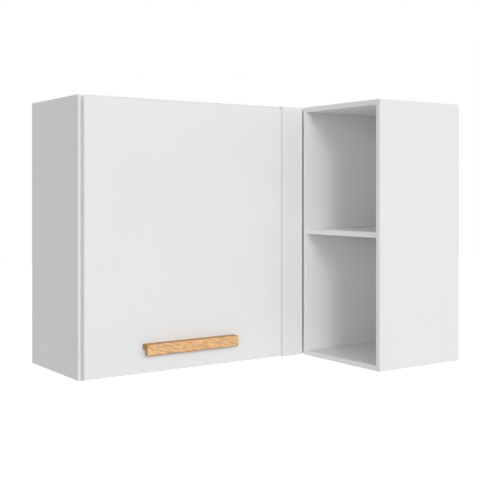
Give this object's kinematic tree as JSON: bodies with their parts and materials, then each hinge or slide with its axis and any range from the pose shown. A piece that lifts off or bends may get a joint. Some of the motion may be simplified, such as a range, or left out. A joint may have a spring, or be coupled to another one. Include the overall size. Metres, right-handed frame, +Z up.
{
  "type": "corner wall cabinet",
  "caption": "L-shaped corner wall cabinet: a hinged white door and a filler on the main wall, and an open wing with a shelf returning along the side wall.",
  "frame": {"origin": "on the wall face of the main hanging rail, at the middle of its length and height", "axes": "+X along the main wall towards the corner, +Y into the main wall, +Z up; the open wing runs out to -Y along the side wall at +X"},
  "size_m": [1, 0.64, 0.716],
  "materials": {
    "white_board": "white melamine faced chipboard with white edging, satin",
    "back_board": "thin white lacquered hardboard",
    "raw_board": "plain chipboard rail, hidden behind the back",
    "oak": "light oak with fine darker streaks, matt lacquer",
    "zinc_steel": "bright zinc and nickel plated steel",
    "beech": "ribbed beech dowel",
    "clear_pad": "milky soft stick-on pad"
  },
  "bodies": {
    "cabinet": {"blind_front": "white_board", "filler_screw_1": "zinc_steel", "filler_screw_2": "zinc_steel", "filler_strip": "white_board", "hinge_lower_arm": "zinc_steel", "hinge_lower_arm_screw": "zinc_steel", "hinge_lower_plate": "zinc_steel", "hinge_lower_plate_screw_high": "zinc_steel", "hinge_lower_plate_screw_low": "zinc_steel", "hinge_upper_arm": "zinc_steel", "hinge_upper_arm_screw": "zinc_steel", "hinge_upper_plate": "zinc_steel", "hinge_upper_plate_screw_high": "zinc_steel", "hinge_upper_plate_screw_low": "zinc_steel", "main_back": "back_board", "main_bottom": "white_board", "main_bottom_rail": "raw_board", "main_left_side": "white_board", "main_right_side": "white_board", "main_shelf": "white_board", "main_top": "white_board", "main_top_rail": "raw_board", "shelf_peg_left_back": "zinc_steel", "shelf_peg_left_front": "zinc_steel", "shelf_peg_right_back": "zinc_steel", "shelf_peg_right_front": "zinc_steel", "wing_back": "back_board", "wing_batten_back": "raw_board", "wing_batten_front": "raw_board", "wing_bottom": "white_board", "wing_bottom_rail": "raw_board", "wing_dowel_1": "beech", "wing_dowel_2": "beech", "wing_dowel_3": "beech", "wing_dowel_4": "beech", "wing_end_panel": "white_board", "wing_far_side": "white_board", "wing_screw_1": "zinc_steel", "wing_screw_2": "zinc_steel", "wing_screw_3": "zinc_steel", "wing_screw_4": "zinc_steel", "wing_shelf": "white_board", "wing_top": "white_board", "wing_top_rail": "raw_board"},
    "door": {"door_bumper_lower": "clear_pad", "door_bumper_upper": "clear_pad", "door_handle": "oak", "door_panel": "white_board", "handle_screw_left": "zinc_steel", "handle_screw_right": "zinc_steel", "hinge_lower_cup": "zinc_steel", "hinge_lower_cup_screw_high": "zinc_steel", "hinge_lower_cup_screw_low": "zinc_steel", "hinge_lower_pin": "zinc_steel", "hinge_upper_cup": "zinc_steel", "hinge_upper_cup_screw_high": "zinc_steel", "hinge_upper_cup_screw_low": "zinc_steel", "hinge_upper_pin": "zinc_steel"}
  },
  "joints": [
    {"name": "door_hinge", "type": "hinge", "parent": "cabinet", "child": "door", "pos_m": [-0.48451, -0.3125, -0.3055], "axis": [0, 0, -1], "range_deg": [0, 95]}
  ]
}
